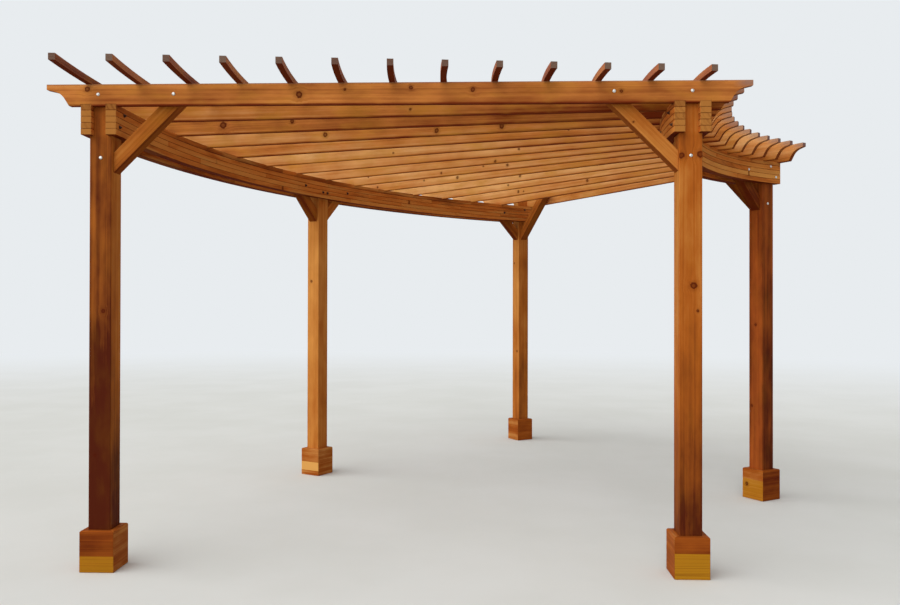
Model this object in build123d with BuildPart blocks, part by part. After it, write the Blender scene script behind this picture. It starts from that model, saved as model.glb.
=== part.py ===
from build123d import *
import os
from math import cos, degrees, radians, sin, sqrt, tan

# Fan-shaped timber pergola. All lengths in millimetres, all angles in degrees.
# The origin is the centre of the front left post's foot, on the ground. +X runs along the front
# rafter to the front right post, +Y runs to the back and +Z is up.
# The plan is a slice of a ring. Its two rows of posts stand on two arcs with one shared centre,
# which lies on the line of the front posts, beyond the front right one.

# Plan
outer_radius = 6100.0
bay_depth = 3658.0
sweep = 58.4
rafter_count = 15
slat_count = 13

# Posts, each with a tenon on top
post_size = 139.7
post_edge = 4.0
tenon_thickness = 88.9
tenon_drop = 14.0

# Curved beams, in pairs that clasp the tenons, each glued up from flat layers
beam_underside = 2715.0
layer_count = 5
layer_thickness = 38.1
beam_thickness = 67.0

# Rafters, spread evenly between the two end ones, with shallow notches over the beams. At each
# end the underside of a thin lip slopes down into a cove, which runs out in a steeper slope
rafter_thickness = 38.1
rafter_depth = 133.0
rafter_overhang_inner = 365.0
rafter_overhang_outer = 325.0
notch_depth = 11.0
lip_height = 32.0
lip_slope = 13.0
cove_radius = 100.0
tail_slope = 58.0
tail_length = 140.0

# Curved slats on top
slat_size = 38.1
slat_from_arc = 58.0
slat_overhang_inner = 306.0
slat_overhang_outer = 620.0

# Knee braces
brace_leg = 406.4
brace_width = 88.9
brace_thickness = 88.9

# Boxes of boards round the posts' feet
trim_thickness = 38.1
trim_height = 256.0
trim_edge = 6.0

# Fits
side_play = 0.2

inner_radius = outer_radius - bay_depth
beam_depth = layer_count * layer_thickness
beam_top = beam_underside + beam_depth
rafter_underside = beam_top - notch_depth
rafter_top = rafter_underside + rafter_depth
half_post = post_size / 2
half_gap = tenon_thickness / 2 + side_play
end_offset = half_post + rafter_thickness
end_rafter_centre = half_post + rafter_thickness / 2

arc_axis = Axis((outer_radius, 0, 0), (0, 0, -1))
arc_plan = Plane((outer_radius, 0, 0))


# The outward direction of the line from the arcs' centre at an angle from the front rafter
def outward(angle):
    return Vector(-cos(radians(angle)), sin(radians(angle)), 0)


# The direction along the arcs, away from the front
def along(angle):
    return Vector(sin(radians(angle)), cos(radians(angle)), 0)


# An upright plane through the arcs' centre: x is the distance from the centre and y is the height
def upright(angle, offset=0.0):
    origin = arc_axis.position + along(angle) * offset
    return Plane(origin=origin, x_dir=outward(angle), z_dir=along(angle))


# The plan of one post: x points away from the arcs' centre
def post_plan(radius, angle):
    foot = arc_axis.position + outward(angle) * radius
    return Plane(origin=foot, x_dir=outward(angle), z_dir=(0, 0, 1))


# An upright plane through a post, along its arc: x is the distance from the post's centre
def arc_side(radius, angle, side):
    foot = arc_axis.position + outward(angle) * radius
    return Plane(origin=foot, x_dir=along(angle) * side, z_dir=outward(angle) * -side)


# Posts: the tenon's cheeks follow the arc, and stop short of the slats or at the rafter above
posts = {
    "front_left": (outer_radius, 0.0, rafter_top - tenon_drop),
    "front_right": (inner_radius, 0.0, rafter_top - tenon_drop),
    "back_left": (outer_radius, sweep / 2, rafter_underside),
    "back_middle": (outer_radius, sweep, rafter_top - tenon_drop),
    "back_right": (inner_radius, sweep, rafter_top - tenon_drop),
}


def make_post(name, radius, angle, tenon_top):
    plan = post_plan(radius, angle)
    with BuildPart() as tenon:
        with BuildSketch(plan.offset(beam_underside)):
            Rectangle(post_size, post_size)
        extrude(amount=tenon_top - beam_underside)
        with BuildSketch(arc_plan):
            Circle(radius + tenon_thickness / 2)
            Circle(radius - tenon_thickness / 2, mode=Mode.SUBTRACT)
        extrude(amount=tenon_top, mode=Mode.INTERSECT)
    with BuildPart() as post:
        with BuildSketch(plan):
            Rectangle(post_size, post_size)
        extrude(amount=beam_underside)
        chamfer(post.edges().filter_by(Axis.Z), post_edge)
        add(tenon.part)
    post.part.label = name
    export_step(post.part, f"parts/{name}.step")


# Base trims: four boards mitred into an open box that hugs the post
def make_trim(name, radius, angle):
    trim_size = post_size + 2 * trim_thickness
    with BuildPart() as trim:
        with BuildSketch(post_plan(radius, angle)):
            Rectangle(trim_size, trim_size)
        extrude(amount=trim_height)
        chamfer(trim.edges().group_by(Axis.Z)[-1], trim_edge)
        with BuildSketch(post_plan(radius, angle)):
            Rectangle(post_size, post_size)
        extrude(amount=trim_height, mode=Mode.SUBTRACT)
    trim.part.label = name
    export_step(trim.part, f"parts/{name}.step")


# Beams: a stack of glued layers, sawn and bent to the arc, and cut off square, flush with the
# outer faces of the two end rafters
def make_beam(name, radius):
    spare = degrees(2 * end_offset / radius)
    with BuildPart() as beam:
        with BuildSketch(upright(-spare)):
            with Locations((radius, beam_underside + beam_depth / 2)):
                Rectangle(beam_thickness, beam_depth)
        revolve(axis=arc_axis, revolution_arc=sweep + 2 * spare)
        split(bisect_by=upright(0, -end_offset), keep=Keep.TOP)
        split(bisect_by=upright(sweep, end_offset), keep=Keep.BOTTOM)
    beam.part.label = name
    export_step(beam.part, f"parts/{name}.step")


# Rafters: a board with a lip and a cove at each end, notched over the four beams
beam_radii = [
    row + side * (half_gap + beam_thickness / 2)
    for row in (inner_radius, outer_radius)
    for side in (-1, 1)
]


# The place where the lip's slope would meet the tail's: how far in from the tip, and how far down
steepness = tan(radians(tail_slope)) - tan(radians(lip_slope))
tail_drop = tail_length * tan(radians(tail_slope))
cove_reach = (tail_drop + lip_height - rafter_depth) / steepness
cove_drop = lip_height + cove_reach * tan(radians(lip_slope))


def make_rafter(name, angle, offset):
    inner_tip = inner_radius - rafter_overhang_inner
    outer_tip = outer_radius + rafter_overhang_outer
    lip_underside = rafter_top - lip_height
    with BuildPart() as rafter:
        with BuildSketch(upright(angle, offset)) as outline:
            with BuildLine():
                Polyline(
                    (inner_tip, lip_underside),
                    (inner_tip, rafter_top),
                    (outer_tip, rafter_top),
                    (outer_tip, lip_underside),
                    (outer_tip - cove_reach, rafter_top - cove_drop),
                    (outer_tip - tail_length, rafter_underside),
                    (inner_tip + tail_length, rafter_underside),
                    (inner_tip + cove_reach, rafter_top - cove_drop),
                    close=True,
                )
            make_face()
            fillet(outline.vertices().group_by(Axis.Y)[1], cove_radius)
        extrude(amount=rafter_thickness / 2, both=True)
        for radius in beam_radii:
            with BuildSketch(arc_plan.offset(beam_underside)):
                Circle(radius + beam_thickness / 2 + side_play)
                Circle(radius - beam_thickness / 2 - side_play, mode=Mode.SUBTRACT)
            extrude(amount=beam_depth, mode=Mode.SUBTRACT)
    rafter.part.label = name
    export_step(rafter.part, f"parts/{name}.step")


# Slats: square strips bent round the arcs, which run past the end rafters, further on the outside
def make_slat(name, number):
    step = (bay_depth + 2 * slat_from_arc) / (slat_count - 1)
    radius = inner_radius - slat_from_arc + number * step
    growth = (slat_overhang_outer - slat_overhang_inner) / (slat_count - 1)
    past = degrees((slat_overhang_inner + number * growth) / radius)
    with BuildPart() as slat:
        with BuildSketch(upright(-past)):
            with Locations((radius, rafter_top + slat_size / 2)):
                Rectangle(slat_size, slat_size)
        revolve(axis=arc_axis, revolution_arc=sweep + 2 * past)
    slat.part.label = name
    export_step(slat.part, f"parts/{name}.step")


# The outline of a knee brace at 45 degrees, plumb against the post
def brace_corners(top):
    foot = rafter_underside - brace_leg
    rise = brace_width * sqrt(2)
    reach = half_post + top - foot
    return [
        (half_post, foot),
        (reach, top),
        (reach - rise, top),
        (half_post, foot + rise),
    ]


# The braces under the two end rafters, which rise past the rafters' inner faces to the slats
def make_end_braces(name):
    with BuildPart() as braces:
        for radius, angle, side in (
            (outer_radius, 0.0, -1),
            (inner_radius, 0.0, 1),
            (outer_radius, sweep, -1),
            (inner_radius, sweep, 1),
        ):
            foot = arc_axis.position + outward(angle) * radius
            plane = Plane(origin=foot, x_dir=outward(angle) * side, z_dir=along(angle) * side)
            with BuildSketch(plane):
                with BuildLine():
                    Polyline(brace_corners(rafter_top), close=True)
                make_face()
            extrude(amount=brace_thickness / 2, both=True)
    braces.part.label = name
    export_step(braces.part, f"parts/{name}.step")


# The braces along one arc, between its two beams, with cheeks sawn to the arc
def make_arc_braces(name, radius, places):
    with BuildPart() as braces:
        for angle, side in places:
            with BuildSketch(arc_side(radius, angle, side)):
                with BuildLine():
                    Polyline(brace_corners(rafter_underside), close=True)
                make_face()
            extrude(amount=post_size, both=True)
        with BuildSketch(arc_plan):
            Circle(radius + brace_thickness / 2)
            Circle(radius - brace_thickness / 2, mode=Mode.SUBTRACT)
        extrude(amount=rafter_top, mode=Mode.INTERSECT)
    braces.part.label = name
    export_step(braces.part, f"parts/{name}.step")


os.makedirs("parts", exist_ok=True)

for post_name, (radius, angle, tenon_top) in posts.items():
    make_post(f"{post_name}_post", radius, angle, tenon_top)
    make_trim(f"{post_name}_base_trim", radius, angle)

beam_names = ["inner_beam_inside", "inner_beam_outside", "outer_beam_inside", "outer_beam_outside"]
for beam_name, radius in zip(beam_names, beam_radii):
    make_beam(beam_name, radius)

rafter_names = ["front_rafter"]
rafter_names += [f"rafter_{number:02d}" for number in range(2, rafter_count)]
rafter_names += ["back_rafter"]
for number, rafter_name in enumerate(rafter_names):
    share = number / (rafter_count - 1)
    make_rafter(rafter_name, sweep * share, end_rafter_centre * (2 * share - 1))

for number in range(slat_count):
    make_slat(f"slat_{number + 1:02d}", number)

make_end_braces("end_rafter_braces")
end_sides = [(0.0, 1), (sweep, -1)]
middle_sides = [(sweep / 2, -1), (sweep / 2, 1)]
make_arc_braces("outer_arc_braces", outer_radius, end_sides + middle_sides)
make_arc_braces("inner_arc_braces", inner_radius, end_sides)
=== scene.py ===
import random
from math import asin, cos, radians, sin, sqrt

import bmesh
import bpy
from mathutils import Matrix, Vector


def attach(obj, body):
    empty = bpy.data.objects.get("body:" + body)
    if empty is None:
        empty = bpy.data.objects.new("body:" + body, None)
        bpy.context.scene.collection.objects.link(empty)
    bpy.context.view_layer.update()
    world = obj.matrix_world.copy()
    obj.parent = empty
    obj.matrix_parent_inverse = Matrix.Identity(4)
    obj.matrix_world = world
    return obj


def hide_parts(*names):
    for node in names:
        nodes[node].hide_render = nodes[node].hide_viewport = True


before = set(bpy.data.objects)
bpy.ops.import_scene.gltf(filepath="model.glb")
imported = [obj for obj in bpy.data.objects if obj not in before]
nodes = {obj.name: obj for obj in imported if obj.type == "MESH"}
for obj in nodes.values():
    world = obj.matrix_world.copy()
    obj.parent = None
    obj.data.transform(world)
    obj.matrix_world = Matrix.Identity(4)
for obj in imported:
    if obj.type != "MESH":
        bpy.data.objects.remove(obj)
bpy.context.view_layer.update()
print("frame loaded with", len(nodes), "nodes")

# The plan: two arcs about one centre, which lies on the line of the front posts
site = {
    "centre": Vector((6.1, 0, 0)),
    "outerRadius": 6.1,
    "innerRadius": 2.442,
    "sweep": radians(58.4),
    "postSize": 0.1397,
    "endOffset": 0.10795,      # from the posts' line to the end rafters' outer faces
    "rafterCount": 15,
    "rafterThickness": 0.0381,
    "rafterFoot": 2.8945,
    "rafterTop": 3.0275,
    "slatCount": 13,
    "slatSize": 0.0381,
    "slatFromArc": 0.058,      # how far the first and last slats lie beyond the posts' arcs
}
outerRadius, innerRadius, sweep = site["outerRadius"], site["innerRadius"], site["sweep"]
halfPost = site["postSize"] / 2
up = Vector((0, 0, 1))


# Directions on the plan: away from the arcs' centre, and along the arcs to the back
def outward(angle):
    return Vector((-cos(angle), sin(angle), 0))


def along(angle):
    return Vector((sin(angle), cos(angle), 0))


def onPlan(radius, angle, height=0.0, offset=0.0):
    return site["centre"] + outward(angle) * radius + along(angle) * offset + up * height


# Each rafter's angle, and how far it stands off the line through the arcs' centre
def rafterPlace(index):
    share = index / (site["rafterCount"] - 1)
    furthest = site["endOffset"] - site["rafterThickness"] / 2
    return sweep * share, furthest * (2 * share - 1)


def slatRadius(index):
    step = (outerRadius - innerRadius + 2 * site["slatFromArc"]) / (site["slatCount"] - 1)
    return innerRadius - site["slatFromArc"] + index * step


posts = {
    "front_left": (outerRadius, 0.0),
    "front_right": (innerRadius, 0.0),
    "back_left": (outerRadius, sweep / 2),
    "back_middle": (outerRadius, sweep),
    "back_right": (innerRadius, sweep),
}


# A frame for one board: x runs with the grain, y across its wide face and z through it
def boardFrame(middle, lengthways, across):
    turn = Matrix((lengthways, across, lengthways.cross(across))).transposed().to_4x4()
    return Matrix.Translation(middle) @ turn


def addToScene(name, data):
    piece = bpy.data.objects.new(name, data)
    bpy.context.scene.collection.objects.link(piece)
    return piece


def meshOf(name, shape):
    mesh = bpy.data.meshes.new(name)
    shape.to_mesh(mesh)
    shape.free()
    return mesh


# Small helpers for nodes, so that each material stays short
def put(tree, kind, inputs=None, **settings):
    node = tree.nodes.new("ShaderNode" + kind)
    for name, value in settings.items():
        setattr(node, name, value)
    for key, value in (inputs or {}).items():
        if isinstance(value, bpy.types.NodeSocket):
            tree.links.new(value, node.inputs[key])
        else:
            node.inputs[key].default_value = value
    return node


def number(tree, operation, *values, clamp=False):
    return put(tree, "Math", dict(enumerate(values)), operation=operation, use_clamp=clamp).outputs[0]


def vector(tree, operation, *values):
    node = put(tree, "VectorMath", dict(enumerate(values)), operation=operation)
    return node.outputs["Value" if operation in ("LENGTH", "DOT_PRODUCT") else "Vector"]


def joined(tree, x, y, z):
    return put(tree, "CombineXYZ", {0: x, 1: y, 2: z}).outputs[0]


def split(tree, source):
    return put(tree, "SeparateXYZ", {0: source}).outputs


def attribute(tree, name):
    return put(tree, "Attribute", attribute_name=name).outputs


# From 0 at the start to 1 at the end, with soft shoulders
def ease(tree, value, start, end):
    ranged = {"Value": value, "From Min": start, "From Max": end}
    return put(tree, "MapRange", ranged, interpolation_type="SMOOTHSTEP").outputs["Result"]


# A strength that fades in from the start to the end, on top of a value
def fadeIn(tree, value, start, end, strength, onto=0.0):
    return number(tree, "MULTIPLY_ADD", ease(tree, value, start, end), strength, onto)


# Noise lies between 0 and 1, and centred takes its middle to 0
def noise(tree, source, scale, detail, roughness=0.55):
    scaled = vector(tree, "MULTIPLY", source, scale)
    inputs = {"Vector": scaled, "Scale": 1.0, "Detail": detail, "Roughness": roughness}
    return put(tree, "TexNoise", inputs).outputs


def centred(tree, value):
    return number(tree, "SUBTRACT", value, 0.5)


def blendColour(tree, share, first, second):
    node = put(tree, "Mix", {0: share, 6: first, 7: second}, data_type="RGBA")
    return node.outputs[2]


def newMaterial(name):
    material = bpy.data.materials.new(name)
    material.use_nodes = True
    material.node_tree.nodes.clear()
    return material, material.node_tree


def newGroup(name, inputs, outputs):
    tree = bpy.data.node_groups.new(name, "ShaderNodeTree")
    for side, sockets in (("INPUT", inputs), ("OUTPUT", outputs)):
        for socket, kind in sockets.items():
            tree.interface.new_socket(name=socket, in_out=side, socket_type="NodeSocket" + kind)
    return tree, tree.nodes.new("NodeGroupInput").outputs, tree.nodes.new("NodeGroupOutput").inputs


# A colour as it is read off a screen, 0 to 255
def shade(red, green, blue):
    def linear(value):
        value /= 255
        return value / 12.92 if value <= 0.04045 else ((value + 0.055) / 1.055) ** 2.4

    return (linear(red), linear(green), linear(blue), 1.0)


# One knot: the grain bends round it, and it shows as a dark ring about a dark heart. Distances from
# its middle are counted in its own size
knotShape = {
    "reach": 4.2,              # how far off the grain still bends
    "bend": 0.72,
    "ragged": 0.9,
    "raggedNoise": ((45.0, 60.0, 60.0), 2.0),
    "heart": (1.05, 0.65, 0.74),   # where it starts, where it is full and how dark it is
    "rim": (0.72, 0.5, 0.16),      # its middle, and how far off that it starts and is full
    "halo": (2.4, 0.9, 0.3),       # the wood just round the knot, given as the heart is
    "colour": shade(84, 26, 8),
    "share": 0.9,
}


def makeKnotGroup():
    tree, into, out = newGroup(
        "knotInTheBoard",
        {"Board": "Vector", "Place": "Vector", "Dark": "Float", "Ragged": "Float"},
        {"Board": "Vector", "Dark": "Float"},
    )
    board = split(tree, into["Board"])
    place = split(tree, into["Place"])   # along, across, size
    alongIt = number(tree, "SUBTRACT", board[0], place[0])
    acrossIt = number(tree, "SUBTRACT", board[1], place[1])
    far = vector(tree, "LENGTH", joined(tree, alongIt, acrossIt, 0.0))
    wobble = number(tree, "MULTIPLY_ADD", into["Ragged"], knotShape["ragged"], 1.0)
    share = number(tree, "DIVIDE", number(tree, "MULTIPLY", far, wobble), place[2])
    pull = ease(tree, share, knotShape["reach"], 0.0)
    bend = number(tree, "MULTIPLY", number(tree, "MULTIPLY", acrossIt, pull), knotShape["bend"])
    bent = number(tree, "SUBTRACT", board[1], bend)
    tree.links.new(joined(tree, board[0], bent, board[2]), out["Board"])
    heart = fadeIn(tree, share, *knotShape["heart"])
    halo = fadeIn(tree, share, *knotShape["halo"])
    middle, start, full = knotShape["rim"]
    offRim = number(tree, "ABSOLUTE", number(tree, "SUBTRACT", share, middle))
    rim = ease(tree, offRim, start, full)
    dark = number(tree, "MAXIMUM", number(tree, "MAXIMUM", heart, rim), halo)
    tree.links.new(number(tree, "MAXIMUM", dark, into["Dark"]), out["Dark"])
    return tree


knotGroup = makeKnotGroup()


def raggedness(tree, board):
    return centred(tree, noise(tree, board, *knotShape["raggedNoise"])[0])


# Puts a knot in a board: what comes back is the board with its grain bent, and how dark it is
def addKnot(tree, board, place, dark, ragged):
    inputs = {"Board": board, "Place": place, "Dark": dark, "Ragged": ragged}
    knot = put(tree, "Group", inputs, node_tree=knotGroup)
    return knot.outputs["Board"], knot.outputs["Dark"]


# Stained redwood in a board's own coordinates: growth rings about a pith off to one side, long
# streaks, cloudy patches and fine fibres
grain = {
    # for each pattern its scale along, across and through the board, its detail and its roughness
    "patterns": {
        "sway": ((0.5, 4.5, 4.5), 2.0, 0.55),
        "streak": ((0.42, 27.0, 27.0), 3.0, 0.6),
        "cloud": ((0.9, 4.0, 4.0), 2.0, 0.55),
        "patch": ((3.6, 9.0, 9.0), 3.0, 0.55),
        "fibre": ((11.0, 460.0, 460.0), 2.0, 0.55),
    },
    "strengths": {"streak": 0.85, "cloud": 0.6, "patch": 0.58, "fibre": 0.16},
    "sway": 0.018,             # how far the rings wander, in metres
    "seeds": (1, 60),
    "seedShift": (1.7, 0.37, 1.0),
    "pith": (0.0, 0.03, -0.09),
    "rings": {"Scale": 1.0, "Detail": 2.0, "Roughness": 0.6},
    "ringPitch": 165.0,
    "ringShift": 9.0,
    "late": (0.44, 0.66),      # where the dark late wood of a ring starts and is full
    "ring": 0.09,
    "sapwood": (0.3, 0.1),     # how much of the stain shows on it: more on late wood, and anywhere
    "tinted": (0.42, 0.74),    # where the golden patches start and are full
    "cutEnd": (0.6, 0.95),     # how far a face turns to the grain before it is end grain
    "soaked": (-1.6, 0.26),    # darker end grain: by the tone, and on late wood
    "roughness": 0.5,
    "roughFibre": 0.16,
    "roughEnd": 0.24,
    "relief": (-0.35, 0.6),    # the height of late wood and of streaks, as against the fibre's
    "bump": {"Strength": 0.45, "Distance": 0.0007},
    "specular": 0.02,
}


def makeTimberGroup():
    tree, into, out = newGroup(
        "timber",
        {
            "Board": "Vector", "Seed": "Float", "Tone": "Float", "Knot": "Float", "End": "Float",
            "Sap": "Float", "Tint": "Float", "Streaks": "Float", "Pith": "Vector", "Deep": "Color",
            "Body": "Color", "Pale": "Color", "Gold": "Color", "Cut": "Color",
        },
        {"Color": "Color", "Roughness": "Float", "Height": "Float"},
    )
    shifts = [number(tree, "MULTIPLY", into["Seed"], share) for share in grain["seedShift"]]
    own = vector(tree, "ADD", into["Board"], joined(tree, *shifts))
    found = {name: noise(tree, own, *settings) for name, settings in grain["patterns"].items()}

    # growth rings, and the late wood in them
    sway = vector(tree, "SUBTRACT", found["sway"]["Color"], (0.5, 0.5, 0.5))
    sway = vector(tree, "MULTIPLY", sway, (0.0, grain["sway"], grain["sway"]))
    fromPith = vector(tree, "SUBTRACT", vector(tree, "ADD", into["Board"], sway), into["Pith"])
    far = vector(tree, "LENGTH", vector(tree, "MULTIPLY", fromPith, (0.0, 1.0, 1.0)))
    shifted = number(tree, "MULTIPLY", into["Seed"], grain["ringShift"])
    turns = number(tree, "MULTIPLY_ADD", far, grain["ringPitch"], shifted)
    rings = put(tree, "TexNoise", {"W": turns, **grain["rings"]}, noise_dimensions="1D").outputs[0]
    late = ease(tree, rings, *grain["late"])

    # the level runs from deep at 0 over the body's colour at a half to pale at 1
    streak = number(tree, "MULTIPLY_ADD", centred(tree, found["streak"][0]), into["Streaks"], 0.5)
    patch = split(tree, found["patch"]["Color"])
    fibre = found["fibre"][0]
    parts = {"streak": streak, "cloud": found["cloud"][0], "patch": patch[0], "fibre": fibre}
    level = number(tree, "ADD", into["Tone"], 0.5)
    for name, part in parts.items():
        level = number(tree, "MULTIPLY_ADD", centred(tree, part), grain["strengths"][name], level)
    level = number(tree, "SUBTRACT", level, number(tree, "MULTIPLY", late, grain["ring"]))
    low = number(tree, "MULTIPLY", level, 2.0, clamp=True)
    high = number(tree, "MULTIPLY_ADD", level, 2.0, -1.0, clamp=True)
    colour = blendColour(tree, low, into["Deep"], into["Body"])
    colour = blendColour(tree, high, colour, into["Pale"])

    # sapwood and golden patches, then end grain and knots
    stained = number(tree, "MULTIPLY_ADD", late, *grain["sapwood"])
    sapwood = blendColour(tree, stained, into["Gold"], colour)
    tinted = number(tree, "MULTIPLY", ease(tree, patch[1], *grain["tinted"]), into["Tint"])
    colour = blendColour(tree, tinted, colour, into["Gold"])
    colour = blendColour(tree, into["Sap"], colour, sapwood)
    byTone, onLate = grain["soaked"]
    soaked = number(tree, "MULTIPLY", late, onLate)
    soaked = number(tree, "MULTIPLY_ADD", into["Tone"], byTone, soaked, clamp=True)
    ended = blendColour(tree, soaked, into["Cut"], into["Deep"])
    colour = blendColour(tree, into["End"], colour, ended)
    knotted = number(tree, "MULTIPLY", into["Knot"], knotShape["share"])
    tree.links.new(blendColour(tree, knotted, colour, knotShape["colour"]), out["Color"])

    rough = number(tree, "MULTIPLY_ADD", fibre, grain["roughFibre"], grain["roughness"])
    rough = number(tree, "MULTIPLY_ADD", into["End"], grain["roughEnd"], rough)
    tree.links.new(rough, out["Roughness"])
    ofLate, ofStreaks = grain["relief"]
    height = number(tree, "MULTIPLY_ADD", late, ofLate, fibre)
    tree.links.new(number(tree, "MULTIPLY_ADD", streak, ofStreaks, height), out["Height"])
    return tree


timberGroup = makeTimberGroup()

stain = {
    "Deep": shade(96, 36, 14),
    "Body": shade(178, 100, 37),
    "Pale": shade(220, 150, 74),
    "Gold": shade(188, 130, 28),
    "Cut": shade(180, 118, 56),
    "Tint": 0.25,              # how strong the golden patches are
    "Streaks": 1.0,
}
# Painted shade on the faces that look down: a lower tone and a dark colour blended in; they are also
# rougher
underside = {
    "facing": (-0.25, -0.7),
    "tone": -0.2,
    "colour": shade(100, 34, 9),
    "share": 0.5,
    "rougher": 0.3,
}


# A timber material. Its coordinates function gives the board's place, how far a face is end grain
# and a tone. It may add a seed, a knot, sapwood, the faces that knots show on, and a share of a
# weathered grey with that grey
def timberMaterial(
    name, coordinates, seed=0.0, pith=grain["pith"], knots=(), dark=underside["share"], **looks
):
    material, tree = newMaterial(name)
    where = coordinates(tree)
    knotFaces = where.pop("KnotFaces", None)
    weathered = where.pop("Weathered", None)
    upwards = split(tree, put(tree, "TexCoord").outputs["Normal"])[2]
    # painted shade: faces that look down get a lower tone here, and a share of a dark colour below
    under = ease(tree, upwards, *underside["facing"])
    where["Tone"] = number(tree, "MULTIPLY_ADD", under, underside["tone"], where["Tone"])
    board, knotted = where["Board"], where.get("Knot", 0.0)
    if knots:
        ragged = raggedness(tree, board)
        for place in knots:
            board, knotted = addKnot(tree, board, place, knotted, ragged)
    if knotFaces:
        knotted = number(tree, "MULTIPLY", knotted, knotFaces)
    inputs = {"Seed": seed, "Pith": pith, **stain, **looks, **where, "Board": board, "Knot": knotted}
    timber = put(tree, "Group", inputs, node_tree=timberGroup).outputs
    # painted shade: blend the faces that look down towards a dark colour, as much as dark says
    paintedShade = number(tree, "MULTIPLY", under, dark)
    colour = blendColour(tree, paintedShade, timber["Color"], underside["colour"])
    if weathered:
        share, grey = weathered
        colour = blendColour(tree, share, colour, grey)
    rough = number(tree, "MULTIPLY_ADD", under, underside["rougher"], timber["Roughness"], clamp=True)
    bump = put(tree, "Bump", {**grain["bump"], "Height": timber["Height"]})
    shader = put(tree, "BsdfPrincipled", {
        "Base Color": colour, "Roughness": rough, "Specular IOR Level": grain["specular"],
        "Normal": bump.outputs[0],
    })
    put(tree, "OutputMaterial", {0: shader.outputs[0]})
    return material


def endGrain(tree, normal, lengthways):
    facing = number(tree, "ABSOLUTE", vector(tree, "DOT_PRODUCT", normal, lengthways))
    return ease(tree, facing, *grain["cutEnd"])


# Coordinates of a straight board that is a node of the frame
def straightBoard(placed, tone):
    lengthways = placed.to_3x3().col[0]

    def coordinates(tree):
        place = put(tree, "TexCoord").outputs
        moved = {0: place["Object"], 1: placed.translation, 2: placed.to_euler()}
        board = put(tree, "Mapping", moved, vector_type="TEXTURE").outputs[0]
        return {"Board": board, "End": endGrain(tree, place["Normal"], lengthways), "Tone": tone}

    return coordinates


def wear(material, node):
    slots = nodes[node].data.materials
    slots.clear()
    slots.append(material)


# Random places and seeds, each within its limits
def newSeed(chance):
    return chance.uniform(*grain["seeds"])


def newPith(chance, sideways, below):
    return (0.0, chance.uniform(*sideways), -chance.uniform(*below))


def newKnot(chance, *limits):      # along the board, across it and its size
    return [chance.uniform(*pair) for pair in limits]


# Posts
postLook = {
    "looks": {"Tint": 0.06, "Streaks": 0.62, "Deep": shade(84, 32, 16)},
    "body": {"front_right": shade(176, 94, 31), "back_right": shade(174, 87, 34)},
    "pith": (0.0, 0.012, -0.02),
    "frontFace": (halfPost - 0.004, halfPost - 0.001),
    "knotFaces": (halfPost - 0.01, halfPost - 0.003),
    "rise": (0.1, 2.3),        # painted shade: between these heights the darker tone at the foot turns into the top's
    "tenon": (2.69, 2.74, 0.14),   # painted light: from here up, on the tenon between the beams, it is paler, and by how much
    # tone at the top, at the foot and on the front, seed, knots as height, across and size
    "front_left": (0.16, -0.36, -0.42, 3.1, ((1.62, -0.02, 0.012), (0.72, 0.03, 0.010))),
    "front_right": (
        0.24, -0.22, -0.13, 8.4,
        ((2.578, 0.058, 0.018), (2.585, -0.058, 0.02), (1.78, -0.017, 0.02), (1.628, -0.042, 0.009)),
    ),
    "back_left": (0.2, 0.08, 0.06, 5.7, ((1.9, 0.02, 0.012),)),
    "back_middle": (0.0, -0.14, 0.24, 1.9, ((1.1, -0.03, 0.012), (2.2, 0.03, 0.01))),
    "back_right": (-0.24, -0.36, 0.14, 6.2, ((1.5, 0.0, 0.012), (0.8, 0.04, 0.011))),
}


def postCoordinates(radius, angle, top, foot, front):
    placed = boardFrame(onPlan(radius, angle), up, outward(angle))
    straight = straightBoard(placed, 0.0)

    def coordinates(tree):
        found = straight(tree)
        spot = split(tree, found["Board"])
        toned = fadeIn(tree, spot[2], *postLook["frontFace"], front, foot)
        # painted light: paler on the tenon between the beams
        toned = fadeIn(tree, spot[0], *postLook["tenon"], toned)
        # painted shade: the tone is darker towards the foot
        found["Tone"] = fadeIn(tree, spot[0], *postLook["rise"], top - foot, toned)
        found["KnotFaces"] = ease(tree, number(tree, "ABSOLUTE", spot[2]), *postLook["knotFaces"])
        return found

    return coordinates


for name, (radius, angle) in posts.items():
    top, foot, front, seed, knots = postLook[name]
    material = timberMaterial(
        f"postWood_{name}", postCoordinates(radius, angle, top, foot, front), seed, postLook["pith"],
        knots, Body=postLook["body"].get(name, stain["Body"]), **postLook["looks"],
    )
    wear(material, f"{name}_post")
print("posts done")


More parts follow.
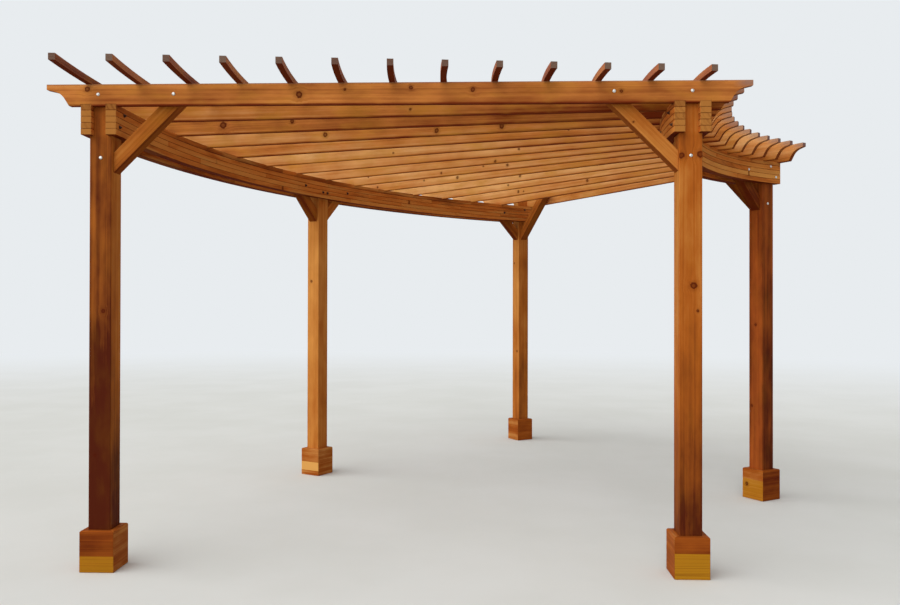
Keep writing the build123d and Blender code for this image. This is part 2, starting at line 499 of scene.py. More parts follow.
# Rafters
rafterLook = {
    "seed": 21,
    "looks": {
        "Deep": shade(122, 50, 20), "Body": shade(204, 126, 60), "Pale": shade(240, 182, 116),
        "Gold": shade(206, 142, 50), "Cut": shade(120, 48, 20),
    },
    # how strongly the painted shade darkens the faces that look down
    "dark": 0.52,
    "tones": (-0.14, -0.11, -0.2, 0.12, 0.04, 0.24, 0.2, 0.2, 0.26, 0.18, 0.42, 0.3, 0.2, 0.22, 0.12),
    "tints": (0.3, 0.5, 0.3, 0.5, 0.4, 0.6, 0.5, 0.5, 0.5, 0.5, 0.6, 0.5, 0.4, 0.4, 0.4),
    # painted light and shade: how much paler each one gets to its outer tip, and darker to its inner one
    "paintedLightAndShade": (0.02, 0.08, 0.24, 0.04, 0.04, 0.1, 0.04, 0.1, 0.04, 0.04, 0.0, 0.0, 0.02, 0.0, 0.0),
    "reach": 2.0,              # where the painted light and shade is full, from the middle
    # along the board, or up from its middle: where each starts and is full, then how strong it is
    "paintedEdgeShade": (-0.056, -0.062, -0.34),              # painted shade along the lower edge
    "shaded": (-1.5, -1.7, -1.92, -2.05, -0.34),   # over the inner beams, and where it ends again
    "topEdge": (0.056, 0.0662, 0.6),               # weathered grey
    "innerTip": (-2.06, -2.17),                    # weathered too, in its upper half
    "upperHalf": (0.01, 0.05),
    "grey": shade(136, 118, 114),
    "greyShare": 0.6,
    # limits of the pith sideways and below the face, and of a knot along, across and in size
    "pith": ((-0.05, 0.05), (0.05, 0.14)),
    "knot": ((-2.0, 2.0), (-0.04, 0.04), (0.006, 0.009)),
    # distance from the arcs' centre, height and size of the knots that stand out
    "knots": {
        0: (
            (6.168, 2.998, 0.016), (4.844, 2.956, 0.019), (2.872, 2.964, 0.01), (4.562, 2.985, 0.008),
            (4.155, 2.994, 0.012), (3.775, 2.98, 0.014),
        ),
        2: ((5.626, 2.958, 0.0247), (5.103, 2.965, 0.0134)),
        3: ((4.993, 2.945, 0.0175), (4.124, 2.93, 0.0166), (3.644, 2.938, 0.0175)),
        7: ((4.1, 2.912, 0.0103),),
        8: ((5.802, 2.969, 0.0083), (4.888, 2.925, 0.0092), (4.412, 2.944, 0.0072), (4.153, 2.93, 0.0124)),
        9: ((6.081, 2.941, 0.0103), (5.414, 2.95, 0.0083), (4.974, 2.938, 0.0134)),
        10: ((4.465, 2.945, 0.0124),),
        11: ((4.937, 2.938, 0.0103),),
        12: ((5.17, 2.93, 0.0134), (5.086, 2.925, 0.0083), (4.149, 2.931, 0.0144)),
    },
}


def rafterCoordinates(placed, tone, paintedLightAndShade, between):
    straight = straightBoard(placed, tone)

    def coordinates(tree):
        found = straight(tree)
        spot = split(tree, found["Board"])
        # painted light and shade along the board: paler to the outer tip, darker to the inner one
        toned = number(tree, "MULTIPLY_ADD", spot[0], paintedLightAndShade / rafterLook["reach"], tone)
        # painted shade along the lower edge
        toned = fadeIn(tree, spot[1], *rafterLook["paintedEdgeShade"], toned)
        start, full, fullEnd, end, paintedShade = rafterLook["shaded"]
        inside = ease(tree, spot[0], end, fullEnd)
        dip = number(tree, "MULTIPLY", ease(tree, spot[0], start, full), inside)
        found["Tone"] = number(tree, "MULTIPLY_ADD", dip, paintedShade if between else 0.0, toned)
        top = fadeIn(tree, spot[1], *rafterLook["topEdge"])
        upper = ease(tree, spot[1], *rafterLook["upperHalf"])
        tip = number(tree, "MULTIPLY", ease(tree, spot[0], *rafterLook["innerTip"]), upper)
        share = number(tree, "MULTIPLY", number(tree, "MAXIMUM", top, tip), rafterLook["greyShare"])
        found["Weathered"] = (share, rafterLook["grey"])
        return found

    return coordinates


chance = random.Random(rafterLook["seed"])
middleRadius = (outerRadius + innerRadius) / 2
middleHeight = (site["rafterFoot"] + site["rafterTop"]) / 2
rafterNodes = ["front_rafter"]
rafterNodes += [f"rafter_{index:02d}" for index in range(2, site["rafterCount"])]
rafterNodes += ["back_rafter"]
for index, node in enumerate(rafterNodes):
    angle, offset = rafterPlace(index)
    placed = boardFrame(onPlan(middleRadius, angle, middleHeight, offset), outward(angle), up)
    marked = rafterLook["knots"].get(index, ())
    knots = [(far - middleRadius, high - middleHeight, size) for far, high, size in marked]
    if not knots:
        knots.append(newKnot(chance, *rafterLook["knot"]))
    pith = newPith(chance, *rafterLook["pith"])
    between = node.startswith("rafter")
    coordinates = rafterCoordinates(placed, rafterLook["tones"][index], rafterLook["paintedLightAndShade"][index], between)
    material = timberMaterial(
        f"rafterWood_{index + 1:02d}", coordinates, newSeed(chance), pith, knots,
        dark=rafterLook["dark"], Tint=rafterLook["tints"][index], **rafterLook["looks"],
    )
    wear(material, node)
print("rafters done")


# Slats: the grain follows the arc
slatLook = {
    "seed": 5,
    "looks": {
        "Deep": shade(94, 44, 31), "Body": shade(162, 94, 64), "Pale": shade(208, 134, 82),
        "Cut": shade(122, 98, 84),
    },
    # how strongly the painted shade darkens the faces that look down
    "dark": 0.85,
    "tones": (0.1, 0.14, 0.08, -0.02, -0.05, -0.12, -0.15, -0.2, -0.08, 0.16, -0.08, 0.26, -0.08),
    "flat": 0.0165,            # keeps the coordinates even where the mesh has flats on the arc
    "pith": ((-0.03, 0.03), (0.02, 0.06)),
    "knotCount": 3,
    "knot": ((-0.012, 0.012), (0.005, 0.009)),     # limits across, and of the size
}


def arcCoordinates(radius, height, tone):
    def coordinates(tree):
        place = put(tree, "TexCoord").outputs
        spot = split(tree, place["Object"])
        side = number(tree, "SUBTRACT", site["centre"].x, spot[0])
        length = number(tree, "MULTIPLY", number(tree, "ARCTAN2", spot[1], side), radius)
        reach = vector(tree, "LENGTH", joined(tree, side, spot[1], 0.0))
        across = number(tree, "MAXIMUM", number(tree, "SUBTRACT", reach, radius), -slatLook["flat"])
        across = number(tree, "MINIMUM", across, slatLook["flat"])
        board = joined(tree, length, across, number(tree, "SUBTRACT", spot[2], height))
        tangent = vector(tree, "NORMALIZE", joined(tree, spot[1], side, 0.0))
        return {"Board": board, "End": endGrain(tree, place["Normal"], tangent), "Tone": tone}

    return coordinates


chance = random.Random(slatLook["seed"])
for index in range(site["slatCount"]):
    radius = slatRadius(index)
    whole = (0, radius * sweep)
    knots = [newKnot(chance, whole, *slatLook["knot"]) for _ in range(slatLook["knotCount"])]
    coordinates = arcCoordinates(radius, site["rafterTop"] + site["slatSize"] / 2, slatLook["tones"][index])
    pith = newPith(chance, *slatLook["pith"])
    material = timberMaterial(
        f"slatWood_{index + 1:02d}", coordinates, newSeed(chance), pith, knots,
        dark=slatLook["dark"], **slatLook["looks"],
    )
    wear(material, f"slat_{index + 1:02d}")
print("slats done")


# Pieces made of boards: each board keeps its own coordinates, tone, sapwood and knot
boardLook = {
    "cutEnd": 0.8,             # how far a face turns to the grain before it is a cut end
    "smooth": radians(6),
    "sharp": radians(30),
    "bandEdge": (-0.001, 0.002),
    "paler": (-2.0, 0.7),      # what a band's share over 1 does to the share, and to the tone
}
noKnot = (90.0, 90.0, 0.01)    # a place far off any board
noSap = (0.0, 0.0, 0.0)


# Smooth shading, apart from the edges that turn by more than an angle
def shadeSmooth(part, angle):
    for face in part.faces:
        face.smooth = True
    for edge in part.edges:
        edge.smooth = edge.is_manifold and edge.calc_face_angle() < angle


def joinBoards(name, boards, material, replaced):
    whole = bmesh.new()
    values = {"grain": [], "sap": [], "knot": [], "tone": []}
    ends = []
    for part, placed, tone, sap, knot, seed in boards:
        toLocal = placed.inverted()
        lengthways = placed.to_3x3().col[0]
        part.normal_update()
        for vert in part.verts:
            values["grain"] += list(toLocal @ vert.co)
            values["sap"] += sap
            values["knot"] += knot
            values["tone"] += (tone, seed, 0.0)
        ends += [float(abs(face.normal.dot(lengthways)) > boardLook["cutEnd"]) for face in part.faces]
        shadeSmooth(part, boardLook["smooth"])
        scrap = meshOf("scrap", part)
        whole.from_mesh(scrap)
        bpy.data.meshes.remove(scrap)
    mesh = meshOf(name, whole)
    for key, numbers in values.items():
        mesh.attributes.new(key, "FLOAT_VECTOR", "POINT").data.foreach_set("vector", numbers)
    mesh.attributes.new("cutEnd", "FLOAT", "FACE").data.foreach_set("value", ends)
    mesh.materials.append(material)
    piece = addToScene(name, mesh)
    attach(piece, "root")
    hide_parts(replaced)


# Boards with a band of sapwood between two places across them, or, where layers are glued to a
# beam, with dark seams and blotches of sapwood
def boardsMaterial(name, layered=None, **settings):
    def coordinates(tree):
        board = attribute(tree, "grain")["Vector"]
        spot = split(tree, board)
        sap = split(tree, attribute(tree, "sap")["Vector"])
        tone, seed, unused = split(tree, attribute(tree, "tone")["Vector"])
        ragged = raggedness(tree, board)
        bent, knotted = addKnot(tree, board, attribute(tree, "knot")["Vector"], 0.0, ragged)
        above = ease(tree, number(tree, "SUBTRACT", spot[1], sap[0]), *boardLook["bandEdge"])
        below = ease(tree, number(tree, "SUBTRACT", sap[1], spot[1]), *boardLook["bandEdge"])
        band = number(tree, "MULTIPLY", number(tree, "MULTIPLY", above, below), sap[2])
        over = number(tree, "MAXIMUM", number(tree, "SUBTRACT", band, 1.0), 0.0)
        lessGold, lighter = boardLook["paler"]
        band = number(tree, "MULTIPLY_ADD", over, lessGold, band)
        toned = number(tree, "MULTIPLY_ADD", over, lighter, tone)
        if layered:
            toned = fadeIn(tree, number(tree, "ABSOLUTE", spot[2]), *layered["seam"], toned)
            own = vector(tree, "ADD", board, joined(tree, seed, seed, 0.0))
            blotches = noise(tree, own, *layered["blotchNoise"])[0]
            band = fadeIn(tree, blotches, *layered["blotches"])
        return {
            "Board": bent, "Knot": knotted, "End": attribute(tree, "cutEnd")["Fac"], "Tone": toned,
            "Seed": seed, "Sap": band,
        }

    return timberMaterial(name, coordinates, **settings)


def bevelEdges(part, edges, size, segments, clamped=False):
    bmesh.ops.bevel(
        part, geom=edges, offset=size, segments=segments, affect="EDGES", profile=0.5, material=-1,
        clamp_overlap=clamped,
    )


def bevelSharp(part, size):
    edges = [edge for edge in part.edges if edge.is_manifold]
    sharp = [edge for edge in edges if edge.calc_face_angle() > boardLook["sharp"]]
    bevelEdges(part, sharp, size, 2, clamped=True)


def closeHoles(part):
    bmesh.ops.holes_fill(part, edges=[edge for edge in part.edges if edge.is_boundary], sides=0)


def cutAway(part, place, direction, closed=True):
    everything = part.verts[:] + part.edges[:] + part.faces[:]
    bmesh.ops.bisect_plane(part, geom=everything, plane_co=place, plane_no=direction, clear_outer=True)
    if closed:
        closeHoles(part)


# Beams: five layers of sawn boards, butted end to end, with the joints staggered
beams = {
    "thickness": 0.067,
    "halfGap": 0.04465,
    "underside": 2.715,
    "layers": 5,
    "layer": 0.0381,
    "boardLength": 1.52,
    "boardSpread": (0.92, 1.08),
    "stagger": (0.35, 0.87, 0.55, 1.09, 0.71),     # the first joint of each layer, in board lengths
    "lastBoard": 0.25,         # the least that is left for the last board, in board lengths
    "spare": 0.01,             # how far the boards run past the square cuts at the ends
    "step": radians(1.1),
    "joint": 0.0006,
    "ease": 0.0024,
    "tones": {
        "inner_beam_inside": (-0.1, 0.42), "inner_beam_outside": (-0.12, 0.2),
        "outer_beam_inside": (-0.14, 0.24), "outer_beam_outside": (-0.2, 0.14),
    },
    "layerTones": (0.04, 0.06, 0.06, 0.0, -0.14),
    "looks": {"Body": shade(200, 112, 44), "Gold": shade(206, 144, 74)},
    # how strongly the painted shade darkens the faces that look down
    "dark": 0.85,
    "pith": (0.0, -0.12, 0.02),
    "seam": (0.0155, 0.0188, -0.3),                # off a layer's middle: its start, full, tone
    "blotchNoise": ((0.9, 9.0, 20.0), 2.0),
    "blotches": (0.57, 0.64, 0.7),
    "drawnOut": 0.35,          # how slowly the grain changes across a sawn board
    "knotChance": 0.5,
    "knot": ((-0.6, 0.6), (-0.03, 0.03), (0.006, 0.012)),
    "seed": 12,
}


def sweptBoard(radius, low, high, start, end):
    part = bmesh.new()
    half = beams["thickness"] / 2
    corners = [(radius - half, low), (radius + half, low), (radius + half, high), (radius - half, high)]
    ring = [part.verts.new(onPlan(far, start, height)) for far, height in corners]
    loop = [part.edges.new((ring[corner - 1], ring[corner])) for corner in (1, 2, 3, 0)]
    steps = max(2, round((end - start) / beams["step"]))
    bmesh.ops.spin(
        part, geom=loop + ring, cent=site["centre"], axis=-up, angle=end - start, steps=steps,
        use_duplicate=False,
    )
    closeHoles(part)
    return part


def layerJoints(radius, layer, chance):
    pitch = beams["boardLength"] / radius
    spare = asin(site["endOffset"] / radius) + beams["spare"]
    joints = [-spare]
    place = -spare + pitch * beams["stagger"][layer]
    while place < sweep + spare - pitch * beams["lastBoard"]:
        joints.append(place)
        place += pitch * chance.uniform(*beams["boardSpread"])
    return joints + [sweep + spare]


def makeBeam(name, radius, material, chance):
    gap = beams["joint"] / radius
    boards = []
    for layer in range(beams["layers"]):
        low = beams["underside"] + layer * beams["layer"] + beams["joint"] / 2
        high = low + beams["layer"] - beams["joint"]
        joints = layerJoints(radius, layer, chance)
        for first, last in zip(joints, joints[1:]):
            part = sweptBoard(radius, low, high, first + gap / 2, last - gap / 2)
            if first == joints[0]:
                cutAway(part, onPlan(radius, 0.0, 0.0, -site["endOffset"]), -along(0.0))
            if last == joints[-1]:
                cutAway(part, onPlan(radius, sweep, 0.0, site["endOffset"]), along(sweep))
            bmesh.ops.recalc_face_normals(part, faces=part.faces)
            bevelSharp(part, beams["ease"])
            middle = (first + last) / 2
            placed = boardFrame(onPlan(radius, middle, (low + high) / 2), along(middle), outward(middle))
            placed = placed @ Matrix.Diagonal((1, 1 / beams["drawnOut"], 1, 1))
            knotted = chance.random() < beams["knotChance"]
            knot = newKnot(chance, *beams["knot"]) if knotted else noKnot
            tone = chance.uniform(*beams["tones"][name]) + beams["layerTones"][layer]
            boards.append((part, placed, tone, noSap, knot, newSeed(chance)))
    joinBoards(f"{name}_layers", boards, material, name)


beamWood = boardsMaterial(
    "beamWood", beams, pith=beams["pith"], dark=beams["dark"], **beams["looks"]
)
chance = random.Random(beams["seed"])
shift = beams["halfGap"] + beams["thickness"] / 2
for row, radius in (("inner", innerRadius), ("outer", outerRadius)):
    makeBeam(f"{row}_beam_inside", radius - shift, beamWood, chance)
    makeBeam(f"{row}_beam_outside", radius + shift, beamWood, chance)
print("beams done")


# Base boards: four to a post, mitred at the corners
trims = {
    "size": 0.2159,
    "thickness": 0.0381,
    "height": 0.256,
    "mitreGap": 0.0004,
    "ease": 0.0022,
    "topEdge": 0.006,
    "near": 1e-5,
    "seed": 31,
    "looks": {
        "Body": shade(162, 82, 26), "Deep": shade(96, 34, 12), "Pale": shade(226, 166, 92),
        "Tint": 0.05, "Streaks": 0.8,
    },
    # tone of the boards in front, towards the arcs' centre, at the back and outside; then, by board,
    # where a band of sapwood starts and ends in height, and its share
    "front_left": ((-0.28, 0.0, -0.1, -0.1), {0: (-0.01, 0.101, 0.82)}),
    "front_right": ((-0.32, -0.06, -0.1, -0.08), {0: (-0.01, 0.157, 1.0)}),
    "back_left": ((0.06, 0.1, -0.1, 0.0), {0: (0.045, 0.129, 1.8)}),
    "back_middle": ((0.08, -0.12, 0.0, -0.1), {2: (-0.01, 0.09, 1.0)}),
    "back_right": ((0.0, -0.32, -0.1, 0.0), {0: (-0.01, 0.17, 0.7)}),
    "knots": {("back_right", 0): (0.062, 0.125, 0.016)},
}


def mitredBoard(standing):
    part = bmesh.new()
    length, thickness, height = trims["size"], trims["thickness"], trims["height"]
    out = length / 2 - thickness / 2
    bmesh.ops.create_cube(part, size=1.0, matrix=Matrix.Diagonal((length, thickness, height, 1.0)))
    bmesh.ops.translate(part, verts=part.verts, vec=(0, -out, height / 2))
    corner = Vector((length / 2 - trims["mitreGap"], -length / 2, 0))
    cutAway(part, corner, Vector((1, 1, 0)))
    cutAway(part, Vector((-corner.x, corner.y, 0)), Vector((-1, 1, 0)))
    lowest, furthest = height - trims["near"], -length / 2 + trims["near"]
    top = [
        edge for edge in part.edges
        if all(vert.co.z > lowest and vert.co.y < furthest for vert in edge.verts)
    ]
    bevelEdges(part, top, trims["topEdge"], 1)
    bevelSharp(part, trims["ease"])
    bmesh.ops.transform(part, matrix=standing, verts=part.verts)
    bmesh.ops.recalc_face_normals(part, faces=part.faces)
    return part


trimWood = boardsMaterial("trimWood", **trims["looks"])
chance = random.Random(trims["seed"])
for name, (radius, angle) in posts.items():
    tones, bands = trims[name]
    boards = []
    for side, facing in enumerate((-along(angle), -outward(angle), along(angle), outward(angle))):
        sideways = up.cross(-facing)
        standing = boardFrame(onPlan(radius, angle), -sideways, -facing)
        placed = boardFrame(onPlan(radius, angle), sideways, up)
        knot = trims["knots"].get((name, side), noKnot)
        sap = bands.get(side, noSap)
        boards.append((mitredBoard(standing), placed, tones[side], sap, knot, newSeed(chance)))
    joinBoards(f"{name}_base_boards", boards, trimWood, f"{name}_base_trim")
print("base boards done")


# Braces: the frame's own shapes with eased edges, grain along each brace
braces = {
    "leg": 0.4064,
    "ease": 0.0028,
    "near": 1e-5,
    "flat": radians(0.6),
    "pith": (0.0, 0.01, -0.03),
    "seed": 44,
    # the post's arc and angle, the way the brace leans from the post, its tone and its knot
    "end_rafter_braces": (
        (outerRadius, 0.0, "in", 0.06, noKnot), (innerRadius, 0.0, "out", 0.12, (0.12, 0.02, 0.006)),
        (outerRadius, sweep, "in", -0.02, noKnot), (innerRadius, sweep, "out", -0.5, noKnot),
    ),
    "outer_arc_braces": (
        (outerRadius, 0.0, "on", 0.02, noKnot), (outerRadius, sweep, "back", -0.12, noKnot),
        (outerRadius, sweep / 2, "back", -0.1, noKnot), (outerRadius, sweep / 2, "on", -0.02, noKnot),
    ),
    "inner_arc_braces": (
        (innerRadius, 0.0, "on", 0.0, noKnot), (innerRadius, sweep, "back", -0.36, (-0.127, -0.074, 0.011)),
    ),
}


def braceDirection(angle, way):
    return {"in": -outward(angle), "out": outward(angle), "on": along(angle), "back": -along(angle)}[way]


def makeBraces(node, material, chance):
    source = bmesh.new()
    source.from_mesh(nodes[node].data)
    bmesh.ops.remove_doubles(source, verts=source.verts, dist=braces["near"])
    bmesh.ops.dissolve_limit(
        source, angle_limit=braces["flat"], verts=source.verts, edges=source.edges
    )
    halfLeg = braces["leg"] / 2
    boards = []
    for radius, angle, way, tone, knot in braces[node]:
        direction = braceDirection(angle, way)
        post = onPlan(radius, angle)
        middle = post + direction * (halfPost + halfLeg) + up * (site["rafterFoot"] - halfLeg)
        part = source.copy()
        away = [
            vert for vert in part.verts
            if (vert.co - middle).length > 2 * braces["leg"] or (vert.co - post).dot(direction) < 0
        ]
        bmesh.ops.delete(part, geom=away, context="VERTS")
        bevelSharp(part, braces["ease"])
        placed = boardFrame(middle, (direction + up).normalized(), (up - direction).normalized())
        boards.append((part, placed, tone, noSap, knot, newSeed(chance)))
    source.free()
    joinBoards(node.replace("braces", "brace_timbers"), boards, material, node)


braceWood = boardsMaterial("braceWood", pith=braces["pith"])
chance = random.Random(braces["seed"])
for node in ("end_rafter_braces", "outer_arc_braces", "inner_arc_braces"):
    makeBraces(node, braceWood, chance)
print("braces done")


# Hardware: domed bolt heads, and washers with nuts on the far sides
hardware = {
    "head": {"radius": 0.011, "rise": 0.0056, "around": 20, "upwards": 12, "sunk": 0.002, "lift": 0.0008},
    # the washer, the nut and the bolt's tail: radius, from and to what height, and sides
    "discs": ((0.0127, -0.001, 0.002, 24), (0.0083, 0.0015, 0.0104, 6), (0.0048, 0.0094, 0.016, 14)),
    "discEdge": 0.12,          # in thicknesses of the disc
    "rimAngle": radians(80),
    "smooth": radians(35),
    "near": 1e-6,
    "boltHeight": 2.965,
    "postBolt": 2.578,
    "sideBolt": 2.545,
    "endBraceBolt": 0.473,     # how far the bolts into the end braces stand from the post's middle
    "halfBrace": 0.04445,
    # along the arc from the post's middle, and height
    "tenonBolts": ((0.012, 2.858), (-0.055, 2.77)),
    "braceBolt": (0.325, 2.805),
    "screw": {"radius": 0.0045, "taper": 0.86, "depth": 0.0016, "sides": 8, "lift": 0.0004},
    "recess": (0.4, -0.0007),  # how far in from the screw's rim, as a share, and its depth
}


def shapeOf(build):
    shape = bmesh.new()
    build(shape)
    bmesh.ops.remove_doubles(shape, verts=shape.verts, dist=hardware["near"])
    bmesh.ops.recalc_face_normals(shape, faces=shape.faces)
    shadeSmooth(shape, hardware["smooth"])
    return meshOf("shape", shape)


def domedHead(shape):
    head = hardware["head"]
    bmesh.ops.create_uvsphere(shape, u_segments=head["around"], v_segments=head["upwards"], radius=1.0)
    cutAway(shape, (0, 0, 0), -up, closed=False)
    bmesh.ops.scale(shape, vec=(head["radius"], head["radius"], head["rise"]), verts=shape.verts)
    rim = [edge for edge in shape.edges if edge.is_boundary]
    lower = bmesh.ops.extrude_edge_only(shape, edges=rim)["geom"]
    sunk = [part for part in lower if isinstance(part, bmesh.types.BMVert)]
    bmesh.ops.translate(shape, verts=sunk, vec=(0, 0, -head["sunk"]))
    bmesh.ops.translate(shape, verts=shape.verts, vec=(0, 0, head["lift"]))
    closeHoles(shape)


def isRim(edge):
    first, second = edge.verts
    level = abs(first.co.z - second.co.z) < hardware["near"]
    return level and edge.calc_face_angle(0) > hardware["rimAngle"]


def disc(shape, radius, low, high, sides):
    made = bmesh.ops.create_cone(
        shape, cap_ends=True, segments=sides, radius1=radius, radius2=radius, depth=high - low,
        matrix=Matrix.Translation((0, 0, (low + high) / 2)),
    )
    rims = {edge for vert in made["verts"] for edge in vert.link_edges if isRim(edge)}
    bevelEdges(shape, list(rims), (high - low) * hardware["discEdge"], 1)


def washerAndNut(shape):
    for radius, low, high, sides in hardware["discs"]:
        disc(shape, radius, low, high, sides)


def screwHead(shape):
    screw = hardware["screw"]
    size = screw["radius"]
    bmesh.ops.create_cone(
        shape, cap_ends=True, segments=screw["sides"], radius1=size, radius2=size * screw["taper"],
        depth=screw["depth"],
    )
    top = max(shape.faces, key=lambda face: face.calc_center_median().z)
    inset, deep = hardware["recess"]
    bmesh.ops.inset_region(shape, faces=[top], thickness=size * inset, depth=deep)


headShape, nutShape, screwShape = shapeOf(domedHead), shapeOf(washerAndNut), shapeOf(screwHead)
bolts = bmesh.new()
paintedNutShade = []                      # one number for each face: 1 on the washers and nuts, which get painted shade


def addShape(mesh, place, facing):
    start = len(bolts.verts)
    bolts.from_mesh(mesh)
    bolts.verts.ensure_lookup_table()
    paintedNutShade.extend([float(mesh is nutShape)] * len(mesh.polygons))
    turned = facing.to_track_quat("Z", "Y").to_matrix().to_4x4()
    bmesh.ops.transform(bolts, matrix=Matrix.Translation(place) @ turned, verts=bolts.verts[start:])


# the end rafters: into the tenons and the braces
span = outerRadius - innerRadius
reach = hardware["endBraceBolt"]
for angle, side in ((0.0, -1), (sweep, 1)):
    away = along(angle) * side
    for far in (0.0, reach, span - reach, span):
        at = onPlan(outerRadius - far, angle, hardware["boltHeight"])
        addShape(headShape, at + away * site["endOffset"], away)
        behind = halfPost if far in (0.0, span) else hardware["halfBrace"]
        addShape(nutShape, at - away * behind, -away)
    # the posts: into the foot of each brace, from the far side
    for radius, inwards in ((outerRadius, 1), (innerRadius, -1)):
        foot = onPlan(radius, angle)
        addShape(headShape, foot + away * halfPost + up * hardware["postBolt"], away)
        facing = outward(angle) * inwards
        addShape(headShape, foot + facing * halfPost + up * hardware["sideBolt"], facing)


# Through both beams of a pair, with the head on the side that faces away from the roof's middle
def throughBeams(radius, angle, offset, height):
    clasp = beams["halfGap"] + beams["thickness"]
    headSide = 1 if radius == outerRadius else -1
    turned = angle + offset / radius
    for side, shape in ((headSide, headShape), (-headSide, nutShape)):
        addShape(shape, onPlan(radius + side * clasp, turned, height), outward(turned) * side)


# the beams: through each tenon and through the head of each brace between them. At the middle post,
# with a brace on either side, both tenon bolts are at the lower height
for radius, angle, ways in (
    (outerRadius, 0.0, (1,)), (outerRadius, sweep / 2, (-1, 1)), (outerRadius, sweep, (-1,)),
    (innerRadius, 0.0, (1,)), (innerRadius, sweep, (-1,)),
):
    for offset, height in hardware["tenonBolts"]:
        if len(ways) > 1:
            height = hardware["tenonBolts"][-1][1]
        throughBeams(radius, angle, offset * ways[-1], height)
    for way in ways:
        offset, height = hardware["braceBolt"]
        throughBeams(radius, angle, offset * way, height)

# screws down through the slats into each rafter
screwTop = site["rafterTop"] + site["slatSize"] + hardware["screw"]["lift"]
for index in range(site["slatCount"]):
    for rafter in range(site["rafterCount"]):
        angle, offset = rafterPlace(rafter)
        reach = sqrt(slatRadius(index) ** 2 - offset ** 2)
        addShape(screwShape, onPlan(reach, angle, screwTop, offset), up)

for shape in (headShape, nutShape, screwShape):
    bpy.data.meshes.remove(shape)

steelLook = {
    "spangleScale": 240.0,
    "spangle": (shade(196, 196, 192), shade(228, 229, 226)),
    "spangleShare": 0.5,
    "mottleNoise": ((90.0, 90.0, 90.0), 3.0),
    "mottle": (0.62, 0.8),
    "mottled": shade(150, 146, 140),
    # painted shade: the dark colour of the washers and nuts
    "paintedNutShade": shade(84, 62, 50),
    "metallic": 0.85,
    "roughness": (0.22, 0.24),     # what the mottling adds, and the least
    "bump": {"Strength": 0.2, "Distance": 0.0002},
}


def makeSteel():
    material, tree = newMaterial("galvanisedSteel")
    place = put(tree, "TexCoord").outputs["Object"]
    spangles = {"Vector": place, "Scale": steelLook["spangleScale"]}
    spangle = split(tree, put(tree, "TexVoronoi", spangles).outputs["Color"])[0]
    mottling = noise(tree, place, *steelLook["mottleNoise"])[0]
    share = number(tree, "MULTIPLY", spangle, steelLook["spangleShare"])
    colour = blendColour(tree, share, *steelLook["spangle"])
    mottled = ease(tree, mottling, *steelLook["mottle"])
    colour = blendColour(tree, mottled, colour, steelLook["mottled"])
    # painted shade: the washers and nuts turn dark
    colour = blendColour(tree, attribute(tree, "paintedNutShade")["Fac"], colour, steelLook["paintedNutShade"])
    rough = number(tree, "MULTIPLY_ADD", mottling, *steelLook["roughness"])
    bump = put(tree, "Bump", {**steelLook["bump"], "Height": mottling})
    shader = put(tree, "BsdfPrincipled", {
        "Base Color": colour, "Metallic": steelLook["metallic"], "Roughness": rough,
        "Normal": bump.outputs[0],
    })
    put(tree, "OutputMaterial", {0: shader.outputs[0]})
    return material


mesh = meshOf("bolts_and_screws", bolts)
mesh.attributes.new("paintedNutShade", "FLOAT", "FACE").data.foreach_set("value", paintedNutShade)
mesh.materials.append(makeSteel())
piece = addToScene("bolts_and_screws", mesh)
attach(piece, "root")
print("hardware done")


# The stage: a pale floor that runs into a pale sky, and soft light from the left
stage = {
    "floor": (shade(222, 223, 218), shade(227, 228, 224)),
    "floorNoise": ((0.7, 0.7, 0.7), 5.0),
    "mottle": (0.3, 0.7),
    "floorSize": 90.0,
    "floorSides": 96,
    "floorHeight": -0.001,              # just under the feet
    "bounce": shade(188, 187, 182),     # what the floor is to the light that comes off it
    "fade": (7.0, 26.0),                # how far off the floor starts to turn into sky, and is sky
    "sky": shade(232, 236, 239),
    "skyLight": ((1.0, 1.0, 1.0, 1.0), 0.46),
    "key": {"from": (-0.68, -0.57, 0.45), "strength": 3.0, "spread": 100.0},
}


# What the eye sees, also in gloss, as against what light falls on
def seenDirectly(tree):
    path = put(tree, "LightPath").outputs
    seen = number(tree, "MAXIMUM", path["Is Camera Ray"], path["Is Glossy Ray"])
    return number(tree, "MAXIMUM", seen, path["Is Transmission Ray"])


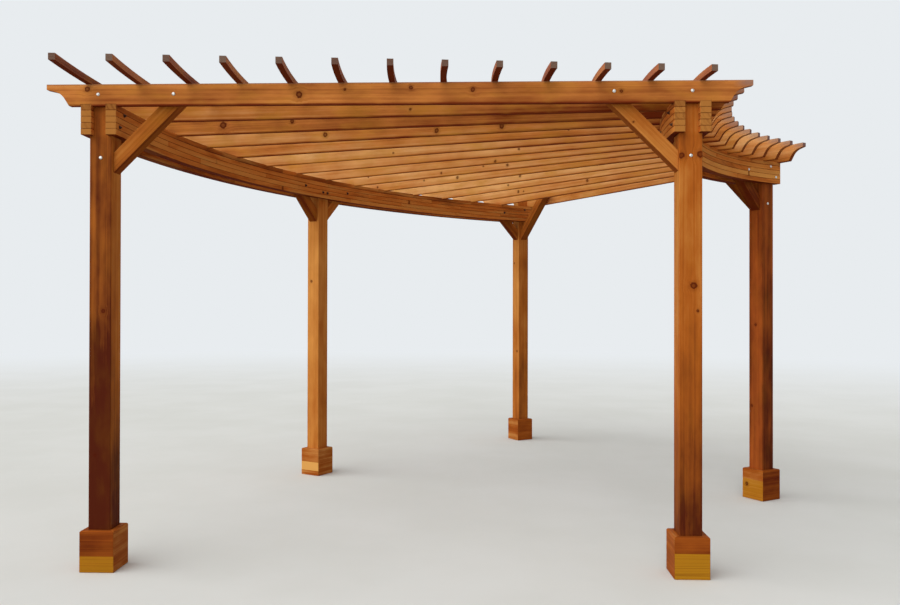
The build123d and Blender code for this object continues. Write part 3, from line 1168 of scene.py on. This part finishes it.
def makeFloor():
    material, tree = newMaterial("paleFloor")
    place = put(tree, "TexCoord").outputs["Object"]
    mottling = noise(tree, place, *stage["floorNoise"])[0]
    colour = blendColour(tree, ease(tree, mottling, *stage["mottle"]), *stage["floor"])
    seen = seenDirectly(tree)
    colour = blendColour(tree, seen, stage["bounce"], colour)
    ground = put(tree, "BsdfDiffuse", {"Color": colour})
    haze = put(tree, "Emission", {"Color": stage["sky"]})
    faded = ease(tree, vector(tree, "LENGTH", place), *stage["fade"])
    share = number(tree, "MULTIPLY", faded, seen)
    both = put(tree, "MixShader", {0: share, 1: ground.outputs[0], 2: haze.outputs[0]})
    put(tree, "OutputMaterial", {0: both.outputs[0]})
    shape = bmesh.new()
    bmesh.ops.create_circle(
        shape, cap_ends=True, segments=stage["floorSides"], radius=stage["floorSize"]
    )
    floor = addToScene("floor", meshOf("floor", shape))
    floor.data.materials.append(material)
    floor.location.z = stage["floorHeight"]


def makeSky():
    world = bpy.data.worlds.new("paleSky")
    bpy.context.scene.world = world
    world.use_nodes = True
    tree = world.node_tree
    tree.nodes.clear()
    colour, strength = stage["skyLight"]
    light = put(tree, "Background", {0: colour, 1: strength})
    view = put(tree, "Background", {0: stage["sky"], 1: 1.0})
    both = put(tree, "MixShader", {0: seenDirectly(tree), 1: light.outputs[0], 2: view.outputs[0]})
    put(tree, "OutputWorld", {0: both.outputs[0]})


def makeKey():
    settings = stage["key"]
    lamp = bpy.data.lights.new("softKey", "SUN")
    lamp.energy = settings["strength"]
    lamp.angle = radians(settings["spread"])
    body = addToScene("softKey", lamp)
    body.rotation_euler = (-Vector(settings["from"])).to_track_quat("-Z", "Y").to_euler()


makeFloor()
makeSky()
makeKey()

camera = {
    "place": (2.345, -5.12, 1.648),
    "turn": (90.32, -0.1, 1.8),         # in degrees
    "lens": 32.8,
    "sensor": 36.0,
    "farthest": 300.0,
}
lens = bpy.data.cameras.new("camera")
lens.lens = camera["lens"]
lens.sensor_width = camera["sensor"]
lens.clip_end = camera["farthest"]
body = addToScene("camera", lens)
body.location = camera["place"]
body.rotation_euler = [radians(value) for value in camera["turn"]]
bpy.context.scene.camera = body
bpy.context.scene.view_settings.view_transform = "Standard"
print("stage done")
